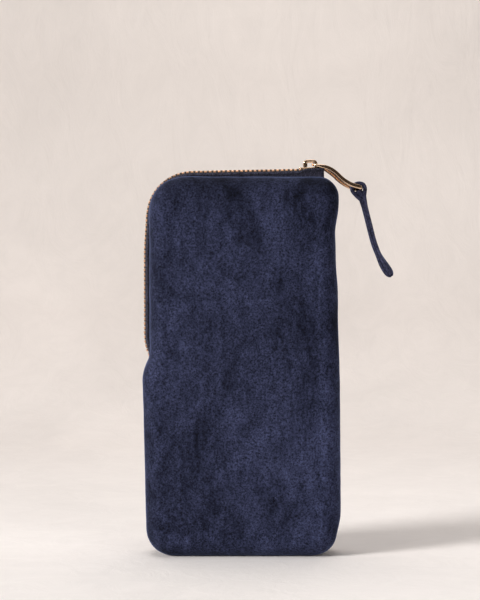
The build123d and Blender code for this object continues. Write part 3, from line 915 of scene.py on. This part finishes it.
# ---------------------------------------------------------------- slider
slider_seat = seat_on(CHAIN, ZIP_RIGHT - (body_low[0] + body_high[0]) / 2)
WING_IN, WING_OUT = 1.22, 1.85
WING_BEVEL = 0.2
WING_CROWN = 0.12
WING_HALF_WIDTH = 3.75
FLANGE_REACH = 0.55       # the wings' side flanges end this far from the tape's middle
BRIDGE_BAR = 1.55
BRIDGE_WIDTH = 2.2
BRIDGE_FEET = 1.7
BRIDGE_CORNER = 1.6
LIMB_ROUND = 0.5          # the rounding of the bridge's and the puller's bars


def plate(name, plan, low, high, bevel, crown=0.0):
    """A plate with rounded edges from a plan in the slider's own frame. crown lifts its top's middle."""
    points, faces = bevelled(*([(x, y, z) for x, y in plan] for z in (low, high)), bevel, 3)
    dome = crown * (1 - np.clip(np.abs(points[:, 1]) / WING_HALF_WIDTH, 0, 1) ** 2)
    points[:, 2] += np.where(points[:, 2] > (low + high) / 2, dome, 0)
    made = make_mesh(name, put_at(points, slider_seat), faces)
    fix_normals(made)
    return made


def wing_plan():
    """The slider's plan: narrow over the closed chain, and two lobes towards the open end."""
    half = [(-5.1, 1.5), (-4.85, 2.4), (-4.2, 2.9), (-1.0, 3.35), (1.6, 3.72), (3.8, 3.72), (4.9, 3.1)]
    half += [(5.15, 2.1), (4.85, 1.1), (4.45, 0.4)]
    return half + [(x, -y) for x, y in half[::-1]]


def build_slider():
    wedge = [(1.5, 0.0), (3.4, -1.1), (4.2, -1.1), (4.2, 1.1), (3.4, 1.1)]
    flange = [(-3.4, 3.0), (-1.2, 3.27), (3.4, 3.35), (3.4, 3.7), (-1.2, 3.5), (-3.4, 3.2)]
    into_wing = WING_IN + 0.1
    parts = [
        plate("upper_wing", wing_plan(), WING_IN, WING_OUT, WING_BEVEL, WING_CROWN),
        plate("lower_wing", wing_plan(), -WING_OUT, -WING_IN, WING_BEVEL),
        plate("wedge", wedge, -into_wing, into_wing, 0.08),
    ]
    for side in (1, -1):
        for low, high in ((FLANGE_REACH, into_wing), (-into_wing, -FLANGE_REACH)):
            parts.append(plate("flange", [(x, side * y) for x, y in flange], low, high, 0.05))
    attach(finish_piece(join("slider", parts), PULL_LOOK, "pull_metal", "slider_body"), "slider")


def rounded_section(width, height, corner, steps=3):
    """A rounded rectangle as a ring of (a, b) points."""
    ring = []
    for a_sign, b_sign, start in ((1, 1, 0), (-1, 1, 90), (-1, -1, 180), (1, -1, 270)):
        for i in range(steps + 1):
            angle = math.radians(start + 90 * i / steps)
            a = a_sign * (width / 2 - corner) + corner * math.cos(angle)
            b = b_sign * (height / 2 - corner) + corner * math.sin(angle)
            ring.append((a, b))
    return np.array(ring)


def rounded_path(points, radius, steps=6):
    """An open path with its inner corners rounded."""
    points = [np.array(p, float) for p in points]
    path = [points[0]]
    for before, corner, after in zip(points, points[1:], points[2:]):
        back, on = unit(before - corner) * radius, unit(after - corner) * radius
        path += [corner + back * (1 - t) ** 2 + on * t**2 for t in np.linspace(0, 1, steps + 1)]
    path.append(points[-1])
    return np.array(path)


def build_bridge():
    """The arch that holds the puller: a stout leg at the closed end, a crossbar and a slimmer leg."""
    left, right = -3.1 + BRIDGE_BAR / 2 + 0.3, 4.2 - BRIDGE_BAR / 2
    top = bridge_high[2] - slider_seat[2, 3] - BRIDGE_BAR / 2
    corners = [(left + 0.15, BRIDGE_FEET), (left, top), (right, top), (right + 0.05, BRIDGE_FEET)]
    path = rounded_path(corners, BRIDGE_CORNER)
    sections = []
    for place, direction in zip(path, unit(np.gradient(path, axis=0))):
        foot = 1 + 0.5 * math.exp(-(((place[1] - BRIDGE_FEET) / 0.8) ** 2))
        stout = 1 + 0.45 * math.exp(-(((place[0] - left) / 0.9) ** 2))
        ring = rounded_section(BRIDGE_BAR * stout, BRIDGE_WIDTH * foot, LIMB_ROUND)
        x = place[0] + ring[:, 0] * direction[1]
        z = place[1] - ring[:, 0] * direction[0]
        sections.append(put_at(np.stack([x, ring[:, 1], z], axis=1), slider_seat))
    bridge = smoothed(sweep("bridge", sections))
    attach(finish_piece(bridge, PULL_LOOK, "pull_metal", "slider_bridge"), "slider")


build_slider()
build_bridge()


# ---------------------------------------------------------------- puller
PIVOT = np.array(joints["puller_swing"]["pos_m"])[[0, 2]] / MM
PULL_RADIUS = 19.6
PULL_HEADINGS = (-6.0, -46.0, -8.0)
PULL_LIMB = 1.6
PULL_DEPTH = (1.3, 2.1)   # the limb's depth at the bridge and along its length
PULL_SPACING = 3.4        # a limb's middle from the middle plane
PULL_CORNER = 2.1
PULL_ROLL = math.radians(-13)


def puller_curve(step=0.3):
    """The puller's S-curve: an arc that turns down and an arc that turns back."""
    points = [PIVOT]
    for first, last in zip(PULL_HEADINGS, PULL_HEADINGS[1:]):
        length = PULL_RADIUS * math.radians(abs(last - first))
        count = int(length / step)
        for i in range(count):
            points.append(points[-1] + length / count * heading(first + (last - first) * (i + 0.5) / count))
    return Rail(np.array(points))


def loop_plan(length, corner_steps=7, run_steps=40):
    """A closed loop with rounded corners, as (distance along the puller, distance to the back)."""
    near, far, wide = PULL_CORNER, length - PULL_CORNER, PULL_SPACING - PULL_CORNER
    loop = []
    for s, y, start in ((near, wide, 90), (near, -wide, 180), (far, -wide, 270), (far, wide, 0)):
        angles = np.linspace(start, start + 90, corner_steps + 1)
        loop += [(s, y) + heading(angle) * PULL_CORNER for angle in angles]
        if start in (180, 0):
            run = near + far - 2 * s
            loop += [(s + run * i / run_steps, math.copysign(PULL_SPACING, y)) for i in range(1, run_steps)]
    return np.array(loop)


def build_puller():
    curve = puller_curve()
    loop = loop_plan(curve.length)
    run = unit(np.roll(loop, -1, axis=0) - np.roll(loop, 1, axis=0))
    sections = []
    for (s, y), (run_s, run_y) in zip(loop, run):
        depth = PULL_DEPTH[0] + (PULL_DEPTH[1] - PULL_DEPTH[0]) * smoothstep((s - 1.0) / 5.0)
        ring = rounded_section(PULL_LIMB, depth, LIMB_ROUND)
        place, along, normal = curve.at(s)
        forward = np.array([along[0], 0, along[1]])
        up = -np.array([normal[0], 0, normal[1]])
        roll = PULL_ROLL * smoothstep((s - 1.0) / 9.0)
        back = np.array([0, math.cos(roll), 0]) + up * math.sin(roll)
        top = up * math.cos(roll) - np.array([0, math.sin(roll), 0])
        side = back * run_s - forward * run_y
        centre = np.array([place[0], 0, place[1]]) + back * y
        sections.append(centre + ring[:, :1] * side + ring[:, 1:] * top)
    puller = smoothed(sweep("pull_loop", sections, closed=True))
    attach(finish_piece(puller, PULL_LOOK, "pull_metal", "puller"), "puller")


build_puller()


# ---------------------------------------------------------------- strap
STRAP_PIVOT = np.array(joints["strap_swing"]["pos_m"])[[0, 2]] / MM
STRAP_LAYER = 1.5
STRAP_WIDTH = 4.6
STRAP_LEAVE = -69.7       # direction from the loop's middle to the neck
STRAP_NECK = 5.76
STRAP_HEADING = -75.7
STRAP_STRAIGHT = 19.0
STRAP_BEND_RADIUS = 51.0
STRAP_BEND = 22.0
STRAP_TIP = 2.4           # the rounded end beyond the bend
STRAP_TWIST = math.radians(21)
LOOP_THICK = 1.85         # the velvet plumps up where it isn't sewn down
# the loop round the puller's end bar, from the right-hand layer to the left-hand one
STRAP_LOOP = np.array(
    [(2.75, -3.2), (3.05, 0.0), (2.0, 2.1), (-0.5, 2.45), (-2.8, 1.0), (-3.2, -1.0), (-1.1, -3.7)]
)
# the turned-in end's sections: distance from the end bar's middle, half thickness, degrees to the side
TONGUE = ((1.0, 0.9, 45), (1.45, 2.0, 32), (2.5, 2.3, 14), (4.0, 1.4, 3), (5.6, 0.4, 0))


def strap_hang(share):
    """The hanging strap's middle, as (x, z), and its direction; share runs from the neck to the tip."""
    bend_length = STRAP_BEND_RADIUS * math.radians(STRAP_BEND)
    run = share * (STRAP_STRAIGHT + bend_length + STRAP_TIP)
    neck = STRAP_PIVOT + STRAP_NECK * heading(STRAP_LEAVE)
    place = neck + min(run, STRAP_STRAIGHT) * heading(STRAP_HEADING)
    angle, left, step = STRAP_HEADING, max(run - STRAP_STRAIGHT, 0.0), 0.25
    while left > 0:
        move = min(step, left)
        angle += math.degrees(move / STRAP_BEND_RADIUS)
        place = place + move * heading(angle)
        left -= move
    return place, heading(angle)


def smooth_curve(points, samples=8):
    """A Catmull-Rom curve through the points."""
    points = [2 * points[0] - points[1], *points, 2 * points[-1] - points[-2]]
    curve = []
    for a, b, c, d in zip(points, points[1:], points[2:], points[3:]):
        for t in np.linspace(0, 1, samples, endpoint=False):
            bend = (2 * a - 5 * b + 4 * c - d) * t**2 + (3 * b - a - 3 * c + d) * t**3
            curve.append(0.5 * (2 * b + (c - a) * t + bend))
    return np.array(curve + [points[-2]])


def strap_section(place, along, width, thick, lift=0.0, twist=0.0):
    """A ring across the strip, lifted off the strap's middle and turned about it."""
    across = np.array([along[1], 0.0, -along[0]])
    depth = np.array([0.0, 1.0, 0.0])
    out = across * math.cos(twist) + depth * math.sin(twist)
    wide = depth * math.cos(twist) - across * math.sin(twist)
    ring = rounded_section(thick, width, 0.36 * min(thick, width), 4)
    return np.array([place[0], 0, place[1]]) + (ring[:, :1] + lift) * out + ring[:, 1:] * wide


def strap_layer(upward, steps=34):
    """The sections of one hanging layer, from the neck to the rounded tip, built as running up or down."""
    for share in np.linspace(0, 1, steps):
        place, along = strap_hang(share)
        twist = STRAP_TWIST * smoothstep((share - 0.62) / 0.24)
        rounding = math.sqrt(max(1 - max((share - 0.92) / 0.08, 0) ** 2.2, 0.04))
        plump = 1 + 0.24 * smoothstep((share - 0.7) / 0.2) + 0.25 * (1 - smoothstep(share / 0.1))
        thick = STRAP_LAYER * plump * max(rounding, 0.5)
        if upward:
            along, twist = -along, -twist
        yield strap_section(place, along, STRAP_WIDTH * rounding, thick, thick / 2, twist)


def strap_tongue():
    """The strap's turned-in end, which fills the gap under the end bar."""
    sections = []
    for drop, half, aside in TONGUE:
        place = STRAP_PIVOT + drop * heading(STRAP_LEAVE - aside)
        sections.append(strap_section(place, heading(STRAP_LEAVE), STRAP_WIDTH * 0.72, 2 * half))
    return smoothed(sweep("tongue", sections), 2)


def build_strap():
    """One velvet strip: up one layer, round the puller's end bar and down the other, sewn together."""
    right, left = list(strap_layer(True)), list(strap_layer(False))
    ends = [layer[0].mean(axis=0)[[0, 2]] for layer in (right, left)]
    curve = smooth_curve([ends[0], *(STRAP_PIVOT + STRAP_LOOP), ends[1]])[1:-1]
    run = unit(np.gradient(curve, axis=0))
    loop = [strap_section(place, along, STRAP_WIDTH, LOOP_THICK) for place, along in zip(curve, run)]
    strip = smoothed(sweep("strip", right[::-1] + loop + left))
    strap = join("strap", [strip, strap_tongue()])
    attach(finish_piece(strap, STRAP_LOOK, "velvet", "pull_strap"), "strap")


build_strap()


# ---------------------------------------------------------------- sewing thread
THREAD_RADIUS = 0.2
STITCH = 2.5
STITCH_PITCH = 3.2
SEAM_INSET = 1.6
ZIP_SEAM_INSET = 2.15
ZIP_SEAM_Y = 6.2
TACK_STITCH = 3.2
TACK_SHARES = (0.035, 0.05, 0.065)      # of the hanging strap's length


def stitch(matrix, length, lengthwise, arch=0.12):
    """One stitch as rings: a short arched thread with round ends, along the seat's X or its Y."""
    rings = []
    for share, size in ((-1, 0.15), (-0.94, 0.7), (-0.7, 1), (0, 1), (0.7, 1), (0.94, 0.7), (1, 0.15)):
        angles = np.linspace(0, 2 * math.pi, 8, endpoint=False)
        a, b = THREAD_RADIUS * size * np.cos(angles), THREAD_RADIUS * size * np.sin(angles)
        run = np.full(8, share * length / 2)
        rise = b + arch * (1 - share**2)
        local = np.stack([run, a, rise] if lengthwise else [a, run, rise], axis=1)
        rings.append(put_at(local, matrix))
    return rings


def sew(name, seats, length, lengthwise):
    stitches = [sweep(f"{name}_{i}", stitch(seat, length, lengthwise)) for i, seat in enumerate(seats)]
    return join(name, stitches)


def edge_seats(inset, y, beside_zip):
    """Seats for stitches inside the pouch's edge, beside the zip or along the rest of the edge."""
    seats = []
    for distance in np.arange(0, EDGE.length, STITCH_PITCH):
        seat = seat_on(EDGE, distance)
        beyond = max(seat[0, 3] - ZIP_RIGHT, ZIP_LOW - seat[2, 3])
        if beyond < -STITCH if beside_zip else beyond > STITCH:
            seat[:3, 3] += -seat[:3, 2] * inset + np.array([0, y, 0])
            seats.append(seat)
    return seats


def build_threads():
    seam = sew("edge_seam", edge_seats(SEAM_INSET, 0, False), STITCH, False)
    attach(finish_piece(seam, THREAD_LOOK, "thread", "edge_seam_thread"), "pouch")
    for half, side in HALVES:
        row = sew(f"{half}_zip_seam", edge_seats(ZIP_SEAM_INSET, side * ZIP_SEAM_Y, True), STITCH, True)
        place_half(row, half, THREAD_LOOK, "thread", "zip_thread")
    tack = []
    for share in TACK_SHARES:
        place, along = strap_hang(share)
        for sign in (1, -1):
            seat = np.eye(4)
            seat[:3, 0] = (along[0], 0, along[1])
            seat[:3, 2] = (sign * along[1], 0, -sign * along[0])
            lift = seat[:3, 2] * (STRAP_LAYER - THREAD_RADIUS * 0.6)
            seat[:3, 3] = np.array([place[0], 0, place[1]]) + lift
            tack.append(seat)
    tacking = sew("strap_tack", tack, TACK_STITCH, False)
    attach(finish_piece(tacking, THREAD_LOOK, "thread", "strap_thread"), "strap")


build_threads()


# ---------------------------------------------------------------- stage, lights and camera
# from here on, lengths are in metres
# the backdrop's colours carry painted light and shade: palest on the floor, darkest in the curve, and between
# on the wall
FLOOR, SHADED_CORNER, WALL = (0.92, 0.882, 0.86), (0.675, 0.622, 0.59), (0.755, 0.704, 0.67)
WALL_AT, WALL_BEND, WALL_HEIGHT = 0.62, 0.25, 2.2
FLOOR_FRONT, FLOOR_HALF_WIDTH = 1.6, 2.0
DARK_SIDE, LIGHT_SIDE = (0.045, 0.04, 0.038), (0.75, 0.74, 0.73)
SEEN_SIDE = (0.72, 0.67, 0.64)          # what a camera at the side or the back sees beyond the stage
CAMERA_FAR = 1.1
CAMERA_TILT = math.radians(4.5)
VIEW_HEIGHT = 0.294                     # how much height the picture covers at the pouch
VIEW_MIDDLE = Vector((-0.001, -VELVET_EDGE * MM, 0.1264))
SENSOR_HEIGHT = 24                      # mm


def plaster_material():
    """Trowelled plaster that is clear from behind, so that a camera at the back sees past the wall."""
    m = new_material("plaster")
    scratches = m.noise(40, 5, 0.7, 2.0, m.mapped(scale=(1, 1, 0.4)))
    tone = m.blend((m.noise(5, 6, 0.6, 0.6), 0.7), (scratches, 0.3))
    place = m.split()
    inward = m.math("ADD", place["Y"], place["Z"])
    # painted light and shade from the floor round the curve to the wall
    painted_light_and_shade = m.ramp(inward, (0.05, FLOOR), (0.62, SHADED_CORNER), (0.9, WALL))
    plaster = m.set(
        Base_Color=m.times(painted_light_and_shade, m.ramp(tone, (0.3, 0.92), (0.7, 1.07))),
        Roughness=0.88,
        Specular_IOR_Level=0.2,
        Normal=m.bump(tone, 0.25, 0.004),
    )
    clear = m.add("ShaderNodeBsdfTransparent", 0, {})
    behind = m.add("ShaderNodeNewGeometry", "Backfacing", {})
    shown = m.add("ShaderNodeMixShader", 0, {0: behind, 1: m.surface.outputs[0], 2: clear})
    m.put(m.output.inputs["Surface"], shown)
    return plaster


def build_stage():
    """A pale plaster floor that curves up into the wall behind."""
    profile = [(-FLOOR_FRONT, 0.0), (WALL_AT - WALL_BEND, 0.0)]
    for angle in np.linspace(0, math.pi / 2, 13)[1:]:
        y = WALL_AT - WALL_BEND + WALL_BEND * math.sin(angle)
        profile.append((y, WALL_BEND - WALL_BEND * math.cos(angle)))
    profile.append((WALL_AT, WALL_HEIGHT))
    points = [(x / MM, y / MM, z / MM) for y, z in profile for x in (-FLOOR_HALF_WIDTH, FLOOR_HALF_WIDTH)]
    faces = [(2 * i, 2 * i + 1, 2 * i + 3, 2 * i + 2) for i in range(len(profile) - 1)]
    backdrop = make_mesh("backdrop", points, faces)
    backdrop.data.materials.append(plaster_material())


def aim(direction):
    """The rotation of a lamp or a camera that looks in a direction."""
    return Vector(direction).to_track_quat("-Z", "Y").to_euler()


def add_lamp(name, kind, direction, power, colour, **settings):
    data = bpy.data.lights.new(name, kind)
    data.energy = power
    data.color = colour
    for setting, value in settings.items():
        setattr(data, setting, value)
    lamp = add_object(name, data)
    lamp.rotation_euler = aim(direction)
    return lamp


def add_area(name, place, target, size, power, colour):
    direction = Vector(target) - Vector(place)
    lamp = add_lamp(name, "AREA", direction, power, colour, shape="RECTANGLE", size=size[0], size_y=size[1])
    lamp.location = place
    return lamp


def build_world():
    """A studio that is dark on the camera's side, so that polished metal has something to reflect."""
    m = Nodes(bpy.data.worlds.new("studio"), "ShaderNodeBackground", "ShaderNodeOutputWorld")
    around = m.split(m.coords.outputs["Generated"])["Y"]
    mirrored = m.ramp(around, (0.0, DARK_SIDE), (0.5, LIGHT_SIDE))
    seen = m.add("ShaderNodeLightPath", "Is Camera Ray", {})
    bpy.context.scene.world = m.set(Color=m.mix(seen, mirrored, SEEN_SIDE))


def build_lights():
    """A soft key from the upper left, a fill from the right that metal doesn't mirror, and a lamp above."""
    build_world()
    add_lamp("key", "SUN", (1.75, 0.95, -0.88), 3.25, (1.0, 0.98, 0.96), angle=math.radians(17))
    fill = add_area("fill", (1.2, -1.4, 0.8), (0, 0, 0.1), (1.4, 1.2), 6.2, (1.0, 0.98, 0.97))
    fill.visible_glossy = False
    add_area("top", (-0.1, 0.1, 1.5), (0, 0.1, 0), (1.4, 1.0), 8.0, (1.0, 0.99, 0.98))


def build_camera():
    data = bpy.data.cameras.new("camera")
    data.sensor_fit = "VERTICAL"
    data.sensor_height = SENSOR_HEIGHT
    data.lens = SENSOR_HEIGHT / (VIEW_HEIGHT / CAMERA_FAR)
    camera = add_object("camera", data)
    towards = Vector((0, math.cos(CAMERA_TILT), -math.sin(CAMERA_TILT)))
    camera.location = VIEW_MIDDLE - towards * CAMERA_FAR
    camera.rotation_euler = aim(towards)
    bpy.context.scene.camera = camera


build_stage()
build_lights()
build_camera()
bpy.context.scene.view_settings.view_transform = "Standard"
